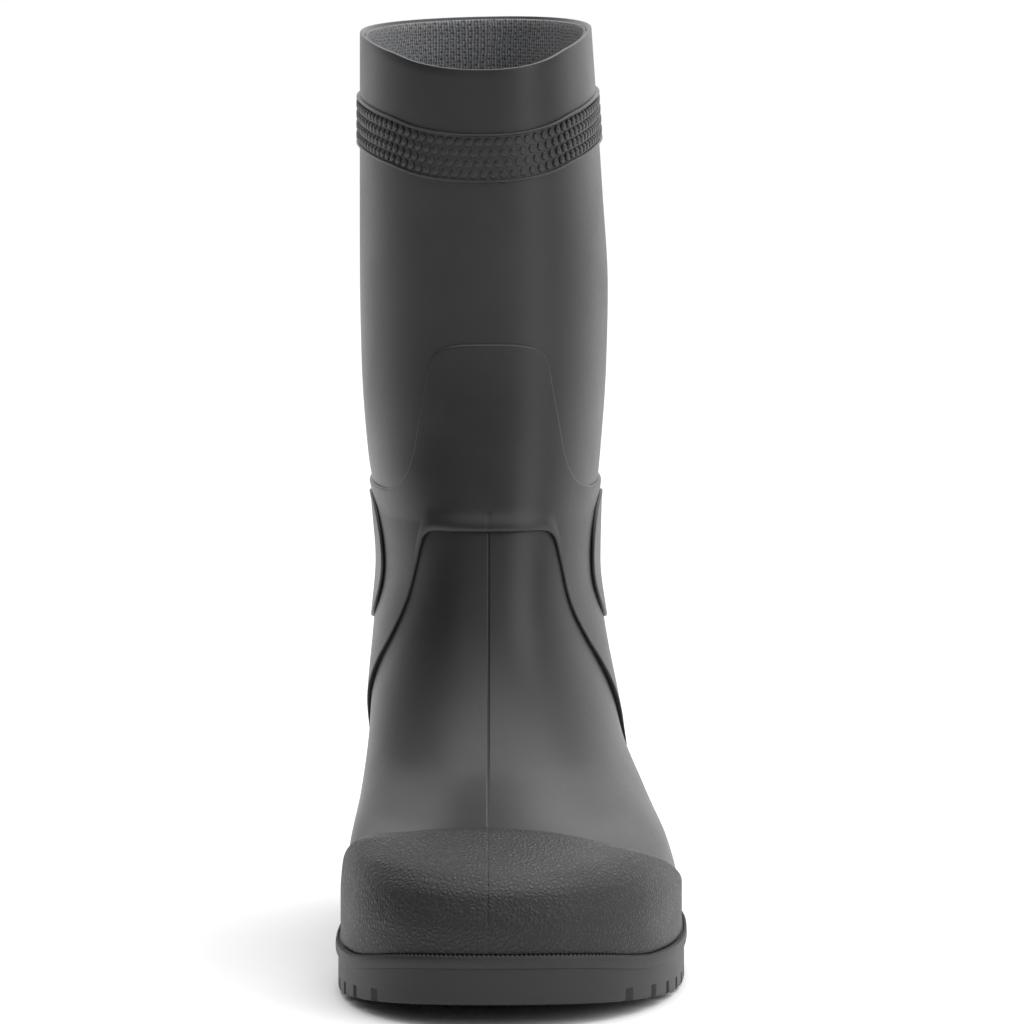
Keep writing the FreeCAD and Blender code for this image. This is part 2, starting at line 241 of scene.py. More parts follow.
def turn_at_x(from_centre, height):
    """The turn at which the front of the boot is this far from the centre line."""
    tries = np.linspace(0, 0.5, 2001)
    side = 1 if from_centre >= 0 else -1
    reached = np.abs(surface(side * tries, height)[:, 0] - CENTRE_LINE)
    return side * float(np.interp(abs(from_centre), np.maximum.accumulate(reached), tries))


def sole_top(y):
    return through(SOLE_TOP, np.asarray(y) / BOOT_LENGTH) * MM


def sole_line(turn, height=20 * MM, grow=0.0):
    """Height of the sole's top edge under the side of the boot."""
    return sole_top(surface(turn, height, grow)[:, 1])


def welt_line(turn, height):
    """Where a piece laid on the upper ends, tucked in behind the welt."""
    return sole_line(turn, height) + sizes().welt_height - WELT_TUCK


def travelled_along(path):
    """Distance from the start of a line to each of its points."""
    return np.concatenate([[0], np.cumsum(np.linalg.norm(np.diff(path, axis=0), axis=1))])


def rim(turn):
    """Height of the leg opening's edge."""
    place = surface(turn, BOOT_HEIGHT)
    line = [(-0.068, BOOT_HEIGHT - RIM_DIP_FRONT), (-0.037, BOOT_HEIGHT - 0.78 * RIM_DIP_FRONT),
            (0.0, BOOT_HEIGHT - 0.52 * RIM_DIP_FRONT), (0.10, BOOT_HEIGHT - 1.2 * RIM_DIP_SIDE),
            (0.20, BOOT_HEIGHT - 0.5 * RIM_DIP_SIDE), (0.418, BOOT_HEIGHT)]
    tilt = math.tan(RIM_TILT) * (place[..., 0] - CENTRE_LINE)
    return through(line, place[..., 1] / BOOT_LENGTH) + tilt - RIM_DROP


def wall(below_rim):
    """Thickness of the upper's rubber, which thins towards the leg opening."""
    size = sizes()
    return size.rim_wall + (size.upper_wall - size.rim_wall) * ease(0, RIM_THINS_OVER, below_rim)


def mould_seam(turn, height, low=0.0, high=1.0):
    """The fine sunken seam that a mould leaves down the front and back centre lines."""
    place = surface(turn, height)
    away = (place[..., 0] - CENTRE_LINE) / SEAM_HALF_WIDTH
    return -sizes().mould_line * np.exp(-away ** 2) * (height > low) * (height < high)


def columns(count):
    """Turns once round the boot, closer together at the two mould seams."""
    fine = np.array([0.0004, 0.0009, 0.0016, 0.0026, 0.004, 0.006, 0.009])
    even = np.linspace(-1, 1, count + 1)
    return np.unique(np.concatenate([even, fine, -fine, 1 - fine, fine - 1]))


# ---- Modelling tools -------------------------------------------------------
def deselect():
    if bpy.context.object and bpy.context.object.mode != "OBJECT":
        bpy.ops.object.mode_set(mode="OBJECT")
    bpy.ops.object.select_all(action="DESELECT")


def make_active(piece):
    deselect()
    piece.select_set(True)
    bpy.context.view_layer.objects.active = piece


def close_up(piece):
    """Welds seams and poles and turns every face outwards."""
    make_active(piece)
    bpy.ops.object.mode_set(mode="EDIT")
    bpy.ops.mesh.select_all(action="SELECT")
    bpy.ops.mesh.remove_doubles(threshold=0.002 * MM)
    bpy.ops.mesh.normals_make_consistent(inside=False)
    bpy.ops.object.mode_set(mode="OBJECT")
    bpy.ops.object.shade_smooth()


def lay_grid(name, points, pattern=None):
    """A grid primitive whose corners are laid on points, with its meeting edges welded.
    Pattern holds a width and height in metres for each corner, as the piece's own UV map."""
    rows, across = points.shape[:2]
    deselect()
    bpy.ops.mesh.primitive_grid_add(x_subdivisions=across - 1, y_subdivisions=rows - 1, size=1)
    piece = bpy.context.object
    piece.name = piece.data.name = name
    corners = np.empty(rows * across * 3)
    piece.data.vertices.foreach_get("co", corners)
    corners = corners.reshape(-1, 3) + 0.5
    i = np.rint(corners[:, 1] * (rows - 1)).astype(int)
    j = np.rint(corners[:, 0] * (across - 1)).astype(int)
    piece.data.vertices.foreach_set("co", points[i, j].ravel())
    if pattern is not None:
        layer = piece.data.uv_layers.active or piece.data.uv_layers.new(name="UVMap")
        loops = np.empty(len(piece.data.loops), int)
        piece.data.loops.foreach_get("vertex_index", loops)
        layer.data.foreach_set("uv", pattern[i, j][loops].ravel())
    piece.data.update()
    close_up(piece)
    return piece


def close_ends(piece):
    """Fills the two narrow open ends of a piece that doesn't go all the way round the boot."""
    make_active(piece)
    bpy.ops.object.mode_set(mode="EDIT")
    bpy.ops.mesh.select_all(action="DESELECT")
    bpy.ops.mesh.select_mode(type="EDGE")
    bpy.ops.mesh.select_non_manifold(extend=False)
    bpy.ops.mesh.fill()
    bpy.ops.mesh.select_all(action="SELECT")
    bpy.ops.mesh.normals_make_consistent(inside=False)
    bpy.ops.object.mode_set(mode="OBJECT")


def bevelled(piece, width, angle_deg=35, segments=2):
    make_active(piece)
    bevel = piece.modifiers.new("Bevel", "BEVEL")
    bevel.width = width
    bevel.segments = segments
    bevel.limit_method = "ANGLE"
    bevel.angle_limit = math.radians(angle_deg)
    bpy.ops.object.modifier_apply(modifier=bevel.name)
    bpy.ops.object.shade_smooth_by_angle(angle=math.radians(40))


def finish_piece(piece, body, material, slot, *nodes):
    piece.data.materials.clear()
    piece.data.materials.append(material)
    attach(piece, body)
    if nodes:
        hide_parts(*nodes)


EDGE_STEPS = np.array([0, 0.04, 0.15, 0.32, 0.55, 0.8, 1.0])


def inwards(turn, z, towards):
    """Direction, in turn and height per metre, that leads straight off a line drawn on the
    boot, to its upper side when towards is 1 and its lower side when it is -1."""
    small = 1e-5
    along_turn = (surface(turn + small, z) - surface(turn - small, z)) / (2 * small)
    along_z = (surface(turn, z + small) - surface(turn, z - small)) / (2 * small)
    place = surface(turn, z)
    tangent = np.gradient(place, axis=0)
    out = np.cross(along_turn, along_z)
    off = np.cross(out, tangent) * towards
    off /= np.linalg.norm(off, axis=1, keepdims=True) + 1e-12

    def dot(first, second):
        return np.sum(first * second, axis=1)

    tt, tz, zz = dot(along_turn, along_turn), dot(along_turn, along_z), dot(along_z, along_z)
    right_t, right_z = dot(off, along_turn), dot(off, along_z)
    scale = tt * zz - tz * tz
    return (right_t * zz - right_z * tz) / scale, (right_z * tt - right_t * tz) / scale


def overlay(name, low, high, thickness, rounding, interior=40, shape=None):
    """A skin laid on the boot between two lines, closed round the boot or tapering to a
    point at both ends. Each line is an array of turns and an array of heights. Shape
    gives the height above the boot from turn, height and distance from the lower line."""
    low_turn, low_z = low
    high_turn, high_z = high
    gap = np.linalg.norm(surface(high_turn, high_z) - surface(low_turn, low_z), axis=1)
    reach = np.minimum(rounding, 0.4 * gap)
    low_off, high_off = inwards(low_turn, low_z, 1), inwards(high_turn, high_z, -1)
    tuck = 0.25 * MM
    rows = []

    def add_row(turn, z, step, from_low):
        rise = math.sqrt(1 - (1 - step) ** 2)
        top = thickness if shape is None else shape(turn, z, from_low)
        rows.append((turn, z, -tuck + (top + tuck) * rise))

    for step in EDGE_STEPS:
        add_row(low_turn + step * reach * low_off[0], low_z + step * reach * low_off[1],
                step, step * reach)
    start, end = rows[-1][:2], [high_turn + reach * high_off[0], high_z + reach * high_off[1]]
    for share in np.linspace(0, 1, interior)[1:-1]:
        add_row(start[0] + share * (end[0] - start[0]), start[1] + share * (end[1] - start[1]),
                1, reach + share * (gap - 2 * reach))
    for step in EDGE_STEPS[::-1]:
        add_row(high_turn + step * reach * high_off[0], high_z + step * reach * high_off[1],
                step, gap - step * reach)
    outside = np.array([surface(turn, z, grow) for turn, z, grow in rows])
    inside = np.array([surface(turn, z, np.full_like(z, -2 * tuck)) for turn, z, _ in rows[::-3]])
    return lay_grid(name, np.concatenate([outside, inside, outside[:1]]))


# ---- Materials -------------------------------------------------------------
def add_node(tree, kind, settings=None, **links):
    """Adds a node, sets its properties and inputs, and links the named inputs."""
    node = tree.nodes.new(kind)
    for key, value in (settings or {}).items():
        if isinstance(key, int) or key in node.inputs:
            node.inputs[key].default_value = value
        else:
            setattr(node, key, value)
    for key, socket in links.items():
        tree.links.new(socket, node.inputs[int(key[1:]) if key[1:].isdigit() else key.replace("_", " ")])
    return node


def new_material(name, **settings):
    material = bpy.data.materials.new(name)
    material.use_nodes = True
    shader = material.node_tree.nodes["Principled BSDF"]
    for key, value in settings.items():
        shader.inputs[key.replace("_", " ")].default_value = value
    return material, material.node_tree, shader


def object_place(tree, scale=(1, 1, 1)):
    place = add_node(tree, "ShaderNodeTexCoord").outputs["Object"]
    return add_node(tree, "ShaderNodeMapping", {"Scale": scale}, Vector=place).outputs["Vector"]


def ramp(tree, value, low, high, first, last):
    node = add_node(tree, "ShaderNodeMapRange", {"From Min": low, "From Max": high, "To Min": first,
                                                  "To Max": last}, Value=value)
    return node.outputs["Result"]


def mix_colour(tree, share, first, last):
    node = add_node(tree, "ShaderNodeMix", {"data_type": "RGBA"})
    node.inputs[6].default_value = (*first, 1)
    node.inputs[7].default_value = (*last, 1)
    tree.links.new(share, node.inputs[0])
    return node.outputs[2]


def bump(tree, height, distance, strength=1.0, under=None):
    node = add_node(tree, "ShaderNodeBump", {"Distance": distance, "Strength": strength}, Height=height)
    if under is not None:
        tree.links.new(under, node.inputs["Normal"])
    return node.outputs["Normal"]


def moulded_rubber(name, base, roughness, haze=0.05):
    """Soft PVC rubber from a blasted steel mould: a satin skin with an even fine texture,
    faint cloudy differences in shine where hands and boxes have rubbed it, and dust."""
    material, tree, shader = new_material(name, IOR=1.50, Roughness=roughness)
    place = object_place(tree)
    clouds = add_node(tree, "ShaderNodeTexNoise", {"Scale": 22.0, "Detail": 4.0}, Vector=place)
    spark = add_node(tree, "ShaderNodeTexNoise", {"Scale": 900.0, "Detail": 2.0}, Vector=place)
    grit = add_node(tree, "ShaderNodeTexNoise", {"Scale": 2400.0, "Detail": 2.0}, Vector=place)
    lighter = [min(1, c * 1.35 + 0.002) for c in base]
    darker = [c * 0.82 for c in base]
    share = ramp(tree, clouds.outputs["Fac"], 0.32, 0.68, 0, 1)
    tree.links.new(mix_colour(tree, share, darker, lighter), shader.inputs["Base Color"])
    rough = ramp(tree, clouds.outputs["Fac"], 0.3, 0.7, roughness - haze, roughness + haze)
    fine = ramp(tree, spark.outputs["Fac"], 0.3, 0.7, -0.02, 0.02)
    total = add_node(tree, "ShaderNodeMath", {"operation": "ADD"}, _0=rough, _1=fine)
    tree.links.new(total.outputs[0], shader.inputs["Roughness"])
    wavy = bump(tree, clouds.outputs["Fac"], 0.25 * MM, 0.5)
    tree.links.new(bump(tree, grit.outputs["Fac"], 0.05 * MM, 0.55, wavy), shader.inputs["Normal"])
    return material


def grained_rubber(name, base):
    """The same rubber from an etched mould: a leather grain of pebbles about 1.3 mm across,
    whose tops are a little shinier than the creases between them. The creases are darkened
    with painted shade and the pebble tops lightened with a painted highlight."""
    material, tree, shader = new_material(name, IOR=1.50, Roughness=0.5)
    place = object_place(tree)
    bend = add_node(tree, "ShaderNodeTexNoise", {"Scale": 420.0, "Detail": 2.0}, Vector=place)
    shift = add_node(tree, "ShaderNodeVectorMath", {"operation": "SCALE", "Scale": 0.0011},
                     _0=bend.outputs["Color"])
    bent = add_node(tree, "ShaderNodeVectorMath", {"operation": "ADD"}, _0=place, _1=shift.outputs[0])
    cells = add_node(tree, "ShaderNodeTexVoronoi", {"Scale": 620.0, "feature": "DISTANCE_TO_EDGE"},
                     Vector=bent.outputs[0])
    pebbles = ramp(tree, cells.outputs["Distance"], 0.0, 0.38, 0, 1)
    fine = add_node(tree, "ShaderNodeTexNoise", {"Scale": 1900.0, "Detail": 3.0}, Vector=place)
    clouds = add_node(tree, "ShaderNodeTexNoise", {"Scale": 30.0, "Detail": 3.0}, Vector=place)
    # Painted light: the creases get painted shade and the pebble tops get a painted highlight.
    painted_crease_shade = [c * 0.7 for c in base]
    top = [min(1, c * 1.2) for c in base]
    tree.links.new(mix_colour(tree, pebbles, painted_crease_shade, top), shader.inputs["Base Color"])
    shine = ramp(tree, pebbles, 0, 1, 0.56, 0.42)
    cloudy = ramp(tree, clouds.outputs["Fac"], 0.3, 0.7, -0.05, 0.05)
    rough = add_node(tree, "ShaderNodeMath", {"operation": "ADD"}, _0=shine, _1=cloudy)
    tree.links.new(rough.outputs[0], shader.inputs["Roughness"])
    coarse = bump(tree, pebbles, 0.26 * MM, 0.7)
    tree.links.new(bump(tree, fine.outputs["Fac"], 0.06 * MM, 0.6, coarse), shader.inputs["Normal"])
    return material


def knit(name, yarn, wale, course):
    """Warp-knit lining: fine ribs one wale apart, and between every second pair a column of
    small holes one course apart, staggered from column to column; fuzzy, never shiny. It
    reads the piece's own UV map, in metres."""
    material, tree, shader = new_material(name, Roughness=0.9, Sheen_Weight=0.2, Sheen_Roughness=0.5)
    place = add_node(tree, "ShaderNodeUVMap", {"uv_map": "UVMap"}).outputs["UV"]
    wander = add_node(tree, "ShaderNodeTexNoise", {"Scale": 90.0, "Detail": 2.0}, Vector=place)
    drift = add_node(tree, "ShaderNodeVectorMath", {"operation": "SCALE", "Scale": 0.0022},
                     _0=wander.outputs["Color"])
    moved = add_node(tree, "ShaderNodeVectorMath", {"operation": "ADD"}, _0=place, _1=drift.outputs[0])
    parts = add_node(tree, "ShaderNodeSeparateXYZ", Vector=moved.outputs[0])

    def calc(operation, first, second=None):
        node = add_node(tree, "ShaderNodeMath", {"operation": operation}, _0=first)
        if second is None:
            return node.outputs[0]
        if isinstance(second, (int, float)):
            node.inputs[1].default_value = second
        else:
            tree.links.new(second, node.inputs[1])
        return node.outputs[0]

    across = calc("DIVIDE", parts.outputs["X"], 2 * wale)
    column = calc("FLOOR", across)
    stagger = calc("MULTIPLY", calc("MODULO", column, 2.0), 0.5)
    along = calc("ADD", calc("DIVIDE", parts.outputs["Y"], course), stagger)
    from_x = calc("SUBTRACT", calc("FRACT", across), 0.5)
    from_y = calc("SUBTRACT", calc("FRACT", along), 0.5)
    away = calc("SQRT", calc("ADD", calc("MULTIPLY", from_x, from_x), calc("MULTIPLY", from_y, from_y)))
    hole = ramp(tree, away, 0.08, 0.22, 0, 1)
    rib = ramp(tree, calc("SINE", calc("MULTIPLY", across, 4 * math.pi)), -1, 1, 0, 1)
    loops = ramp(tree, calc("SINE", calc("MULTIPLY", along, 4 * math.pi)), -1, 1, 0, 1)
    fuzz = add_node(tree, "ShaderNodeTexNoise", {"Scale": 1700.0, "Detail": 4.0}, Vector=place)
    uneven = add_node(tree, "ShaderNodeTexNoise", {"Scale": 700.0, "Detail": 3.0}, Vector=place)
    relief = calc("MULTIPLY", hole, calc("ADD", calc("MULTIPLY", rib, 0.8), calc("MULTIPLY", loops, 0.2)))
    # Yarn colour: random unevenness, plus painted shade in the grooves between the ribs. The holes are dark
    # from painted shade and from the black rubber behind them.
    yarn_tone_and_shade = calc("MULTIPLY", hole, ramp(tree, uneven.outputs["Fac"], 0.3, 0.7, 0.45, 1.0))
    yarn_tone_and_shade = calc("MULTIPLY", yarn_tone_and_shade, ramp(tree, rib, 0, 1, 0.35, 1.0))
    painted_knit_shade = [c * 0.10 for c in yarn]
    light = [min(1, c * 1.2) for c in yarn]
    tree.links.new(mix_colour(tree, yarn_tone_and_shade, painted_knit_shade, light), shader.inputs["Base Color"])
    loop_bump = bump(tree, relief, 0.4 * MM, 0.9)
    tree.links.new(bump(tree, fuzz.outputs["Fac"], 0.15 * MM, 0.7, loop_bump), shader.inputs["Normal"])
    return material


def fibre_board(name, base):
    """Pressed cellulose board: pale brown, matte, with short flecks of fibre."""
    material, tree, shader = new_material(name, Roughness=0.85)
    place = object_place(tree, (1, 0.3, 1))
    flecks = add_node(tree, "ShaderNodeTexNoise", {"Scale": 900.0, "Detail": 4.0}, Vector=place)
    share = ramp(tree, flecks.outputs["Fac"], 0.35, 0.7, 0, 1)
    tree.links.new(mix_colour(tree, share, [c * 0.7 for c in base], base), shader.inputs["Base Color"])
    tree.links.new(bump(tree, flecks.outputs["Fac"], 0.1 * MM, 0.5), shader.inputs["Normal"])
    return material


def cut_foam(name, base):
    """Closed-cell foam: matte, with cells about 0.4 mm across showing on the edge."""
    material, tree, shader = new_material(name, Roughness=0.8)
    place = object_place(tree)
    cells = add_node(tree, "ShaderNodeTexVoronoi", {"Scale": 2200.0}, Vector=place)
    share = ramp(tree, cells.outputs["Distance"], 0.1, 0.6, 0, 1)
    tree.links.new(mix_colour(tree, share, base, [c * 0.5 for c in base]), shader.inputs["Base Color"])
    tree.links.new(bump(tree, cells.outputs["Distance"], 0.12 * MM, 0.6), shader.inputs["Normal"])
    return material


def studio_sweep(name, hex_colour):
    """Seamless paper: near white and matte, with the faintest mottle."""
    base = linear(hex_colour)
    material, tree, shader = new_material(name, Roughness=0.9)
    mottle = add_node(tree, "ShaderNodeTexNoise", {"Scale": 3.0, "Detail": 3.0}, Vector=object_place(tree))
    share = ramp(tree, mottle.outputs["Fac"], 0.3, 0.7, 0, 1)
    tree.links.new(mix_colour(tree, share, [c * 0.985 for c in base], base), shader.inputs["Base Color"])
    return material


def shared(name, make, *settings):
    """A material that several pieces share, made the first time it is asked for."""
    return bpy.data.materials.get(name) or make(name, *settings)


def satin_rubber():
    return shared("Moulded satin rubber", moulded_rubber, list(colours().upper), 0.40)


def matte_sole_rubber():
    return shared("Moulded sole rubber", moulded_rubber, list(colours().sole), 0.50)


# ---- The upper -------------------------------------------------------------
class BOOT_OT_upper(bpy.types.Operator):
    """Leg and vamp, with the cut edge of the leg opening"""
    bl_idname = "rain_boot.upper"
    bl_label = "Upper"

    def execute(self, context):
        turn = columns(216)
        low = sole_line(turn) - 0.5 * MM
        high = rim(turn)
        radius = 0.5 * MM
        foot_share = 70 * MM / BOOT_HEIGHT           # rows are closer together below this
        share = np.concatenate([np.linspace(0, foot_share, 44), np.linspace(foot_share, 1, 76)[1:-1]])
        z = low + share[:, None] * (high - radius - low)
        outside = surface(turn, z, mould_seam(turn, z, high=sizes().instep_height + 1 * MM))
        edge = []
        corner = np.linspace(0, math.pi / 2, 5)
        rounding = [(radius * (1 - math.sin(angle)), radius * (1 - math.cos(angle))) for angle in corner]
        for down, inset in rounding:
            edge.append(surface(turn, high - down, -inset))
        for down, inset in rounding[::-1]:
            edge.append(surface(turn, high - down, inset - sizes().rim_wall))
        z_in = low + np.linspace(1, 0, 70)[:, None] * (high - radius - low)
        inside = surface(turn, z_in, -wall(high - z_in))
        piece = lay_grid("upper", np.concatenate([outside, np.array(edge), inside, outside[:1]]))
        finish_piece(piece, "boot", satin_rubber(), "upper_rubber", "upper_shell")
        return {"FINISHED"}


class BOOT_OT_grip_band(bpy.types.Operator):
    """Grip band with its two ridges and the rows of pips between them"""
    bl_idname = "rain_boot.grip_band"
    bl_label = "Grip band"

    def execute(self, context):
        size = sizes()
        turn = columns(300)
        top = rim(turn) - size.collar_height
        ridge, field, radius = 1.2 * MM, 0.30 * MM, 0.55 * MM
        angle = np.linspace(0, math.pi, 11)
        down = radius * (1 - np.cos(angle))
        out = np.sin(angle) ** 0.7 * (ridge + 0.2 * MM) - 0.2 * MM
        bead = [(d, o if k < 6 else max(o, field)) for k, (d, o) in enumerate(zip(down, out))]
        last = size.band_height
        flat = [(d, field) for d in np.linspace(2.4 * radius, last - 2.4 * radius, 14)]
        profile = bead + flat + [(last - d, o) for d, o in bead[::-1]]
        rows = [surface(turn, top - down, np.full_like(turn, out)) for down, out in profile]
        back = [surface(turn, top - down, np.full_like(turn, -0.5 * MM)) for down in (last, last / 2, 0)]
        piece = lay_grid("grip_band", np.array(rows + back + rows[:1]))
        finish_piece(piece, "boot", satin_rubber(), "trim_rubber", "grip_band")
        self.add_pips(field)
        return {"FINISHED"}

    def one_pip(self):
        """A pip modelled once: a low stud with a rounded top, taller than it is wide."""
        size = sizes()
        deselect()
        bpy.ops.mesh.primitive_cone_add(vertices=12, radius1=0.5 * size.pip_pitch,
                                        radius2=0.36 * size.pip_pitch, depth=size.pip_height + 0.3 * MM)
        pip = bpy.context.object
        bpy.ops.object.mode_set(mode="EDIT")
        bpy.ops.mesh.select_all(action="SELECT")
        bpy.ops.transform.resize(value=(0.86, 1.0, 1))
        bpy.ops.object.mode_set(mode="OBJECT")
        bevelled(pip, 0.5 * MM, 30, 2)
        return pip

    def add_pips(self, field):
        size = sizes()
        pip = self.one_pip()
        corners = np.array([corner.co for corner in pip.data.vertices])
        polygons = [list(face.vertices) for face in pip.data.polygons]
        round_turn = np.linspace(-1, 1, 4001)
        middle = surface(round_turn, BOOT_HEIGHT - size.collar_height - size.band_height / 2)
        travelled = travelled_along(middle)
        count = int(travelled[-1] / size.pip_pitch)
        margin = 1.2 * MM
        row_pitch = (size.band_height - 2 * margin) / size.pip_rows
        points, faces = [], []
        for row in range(size.pip_rows):
            for k in range(count):
                along = (k + 0.5 * (row % 2)) * travelled[-1] / count
                turn = float(np.interp(along, travelled, round_turn))
                z = float(rim(turn)) - size.collar_height - margin - (row + 0.5) * row_pitch
                here = surface(turn, z, field)
                ahead = surface(turn + 0.004, z, field) - surface(turn - 0.004, z, field)
                along_axis = ahead / np.linalg.norm(ahead)
                out = np.cross(along_axis, (0, 0, 1.0))
                out = out / np.linalg.norm(out)
                lift = (size.pip_height - 0.3 * MM) / 2
                worn = 0.4 + 0.6 * float(ease(0.06, 0.22, abs(turn)))
                placed = here + corners[:, :1] * along_axis + corners[:, 1:2] * np.array([0, 0, 1.0])
                placed = placed + (corners[:, 2:] + lift) * worn * out
                start = len(points)
                points.extend(placed.tolist())
                faces.extend([[start + v for v in face] for face in polygons])
        mesh = bpy.data.meshes.new("grip_pips")
        mesh.from_pydata(points, [], faces)
        piece = bpy.data.objects.new("grip_pips", mesh)
        bpy.context.scene.collection.objects.link(piece)
        bpy.data.objects.remove(pip)
        close_up(piece)
        bpy.ops.object.shade_smooth_by_angle(angle=math.radians(50))
        finish_piece(piece, "boot", satin_rubber(), "trim_rubber")


def along_line(points, count):
    """Points spaced evenly along a line of given ones, joined by a smooth curve."""
    points = np.array(points, float)
    place = travelled_along(points)
    fine = np.linspace(0, place[-1], 60 * len(points))
    curve = np.stack([through(list(zip(place, points[:, k])), fine) for k in range(2)], axis=1)
    travelled = travelled_along(curve)
    even = np.linspace(0, travelled[-1], count)
    return np.stack([np.interp(even, travelled, curve[:, k]) for k in range(2)], axis=1)


# Outline of the shin tab in the front view: millimetres from the centre line, and height.
TAB = [(0, 215), (8, 214.8), (14.5, 213.8), (18.6, 211.5), (20.6, 207.5), (21.9, 200), (24.2, 187),
       (26.0, 176.5), (28.2, 169.5), (31.5, 164.8), (36.0, 162.4), (42, 162)]
# Lower edge of the ankle cover: over the instep in the front view, then in the side view
# millimetres behind the middle of the boot, and height.
INSTEP = [(0, 150.6), (8, 150.6), (15, 150.6), (19.2, 150.2), (21.8, 148.2), (23.2, 144.5), (24.3, 139.8)]
SIDE = [(-15.3, 121), (-10.0, 111), (-3.5, 104), (8, 92), (19, 79.5), (26.5, 66), (31, 48), (35, 22)]
TURN_SCALE = 0.14            # metres round the leg for one turn, to measure lines drawn on it


class BOOT_OT_ankle_cover(bpy.types.Operator):
    """Ankle cover: a tab up the shin, a step over the instep, and down round the heel"""
    bl_idname = "rain_boot.ankle_cover"
    bl_label = "Ankle cover"

    def smooth_line(self, turns, heights, count):
        flat = np.stack([np.array(turns) * TURN_SCALE, np.array(heights)], axis=1)
        even = along_line(flat, count)
        return even[:, 0] / TURN_SCALE, even[:, 1]

    def top_edge(self, side):
        turns = [turn_at_x(side * x * MM, z * MM) for x, z in TAB]
        turn, z = self.smooth_line(turns, [z * MM for _, z in TAB], 120)
        back = np.linspace(abs(turn[-1]), 1, 90)[1:] * side
        return np.concatenate([turn, back]), np.concatenate([z, np.full(len(back), z[-1])])

    def low_edge(self, side):
        turns = [turn_at_x(side * x * MM, z * MM) for x, z in INSTEP]
        turns += [float(turn_at_y(y * MM, z * MM, side)) for y, z in SIDE]
        turn, z = self.smooth_line(turns, [z * MM for _, z in INSTEP + SIDE], 170)
        back = np.linspace(abs(turn[-1]), 1, 70)[1:] * side
        welt_top = welt_line(back, 24 * MM)
        blend = ease(0, 1, np.linspace(0, 6, len(back)))
        return np.concatenate([turn, back]), np.concatenate([z, z[-1] + blend * (welt_top - z[-1])])

    def half(self, side):
        """Matching turns and heights of the lower and upper edge, from the front to the back."""
        edges = []
        for line, keys in ((self.low_edge(side), [0, 0.085, 0.26, 0.70, 1]),
                           (self.top_edge(side), [0, 0.12, 0.46, 0.72, 1])):
            at = np.interp(np.linspace(0, 1, 241), [0, 0.13, 0.40, 0.70, 1], keys) * (len(line[0]) - 1)
            edges.append([np.interp(at, np.arange(len(line[0])), values) for values in line])
        return edges

    def execute(self, context):
        outer, inner = self.half(1), self.half(-1)
        low, high = [[np.concatenate([inner[e][k][::-1], outer[e][k][1:]]) for k in range(2)]
                     for e in range(2)]

        def shape(turn, z, from_low):
            side = ease(0.24, 0.42, np.abs(turn))
            flat = sizes().cover_thickness * (0.55 + 0.45 * side)
            over_instep = 1 - ease(0.14, 0.21, np.abs(turn))
            lip = 0.9 * MM * over_instep * np.exp(-((from_low - 2.6 * MM) / (3.2 * MM)) ** 2)
            seam = mould_seam(turn, z) * ((np.abs(turn) > 0.5) | (from_low < 7 * MM))
            return flat + lip + seam

        piece = overlay("ankle_cover", low, high, sizes().cover_thickness, 0.9 * MM, 70, shape)
        finish_piece(piece, "boot", satin_rubber(), "upper_rubber", "ankle_cover")
        return {"FINISHED"}


class BOOT_OT_ankle_guards(bpy.types.Operator):
    """The two raised ovals over the ankle bones"""
    bl_idname = "rain_boot.ankle_guards"
    bl_label = "Ankle guards"

    def execute(self, context):
        for side, name in ((-1, "ankle_guard_inner"), (1, "ankle_guard_outer")):
            low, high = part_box(name)
            middle = ((low.y + high.y) / 2, (low.z + high.z) / 2)
            half = ((high.y - low.y) / 2, (high.z - low.z) / 2)
            angle = np.linspace(0, 2 * math.pi, 121)
            base = sizes().cover_thickness
            thick = sizes().guard_thickness
            rings = [(0.0, 1.05)]
            rings += [(share, 1.05 - 0.05 * share ** 2) for share in np.linspace(0, 0.94, 14)[1:]]
            rings += [(0.965, 1.0), (0.985, 0.86), (0.995, 0.6), (1.0, 0.2), (1.0, -0.3)]
            rows = []
            for share, rise in rings:
                y = middle[0] + share * half[0] * np.cos(angle)
                z = middle[1] + share * half[1] * np.sin(angle)
                rows.append(surface(turn_at_y(y, z, side), z, base + rise * thick))
            tip = surface(turn_at_y(middle[0], middle[1], side), middle[1], base - 0.5 * MM)
            piece = lay_grid(name, np.array(rows + [np.broadcast_to(tip, rows[-1].shape)]))
            finish_piece(piece, "boot", satin_rubber(), "trim_rubber", name)
        return {"FINISHED"}


# Top edge of the toe guard: turn from the inner to the outer side, and height in millimetres
TOE_GUARD_TOP = [(-0.50, 14), (-0.455, 20), (-0.40, 33), (-0.33, 46.5), (-0.25, 54), (-0.154, 57.4),
                 (-0.016, 60), (0.063, 59), (0.19, 54), (0.304, 46), (0.373, 37.8), (0.43, 29),
                 (0.48, 20), (0.53, 12)]


class BOOT_OT_toe_guard(bpy.types.Operator):
    """Grained toe guard"""
    bl_idname = "rain_boot.toe_guard"
    bl_label = "Toe guard"

    def execute(self, context):
        tries = np.linspace(-0.7, 0.7, 4001)
        shows = self.top_height(tries) > self.bottom_height(tries) + 0.2 * MM
        first, last = tries[shows][0], tries[shows][-1]
        turn = np.unique(np.concatenate([np.linspace(first, last, 201),
                                         [t for t in columns(4) if abs(t) < 0.02]]))
        thickness = sizes().toe_guard_thickness
        piece = overlay("toe_guard", (turn, self.bottom_height(turn)), (turn, self.top_height(turn)),
                        thickness, 1.1 * MM, 60,
                        lambda turn, z, from_low: thickness + 0.5 * mould_seam(turn, z))
        close_ends(piece)
        material = shared("Grained rubber", grained_rubber, list(colours().grained))
        finish_piece(piece, "boot", material, "grained_rubber", "toe_guard")
        return {"FINISHED"}

    def top_height(self, turn):
        return through(TOE_GUARD_TOP, turn) * MM

    def bottom_height(self, turn):
        return welt_line(turn, 22 * MM)


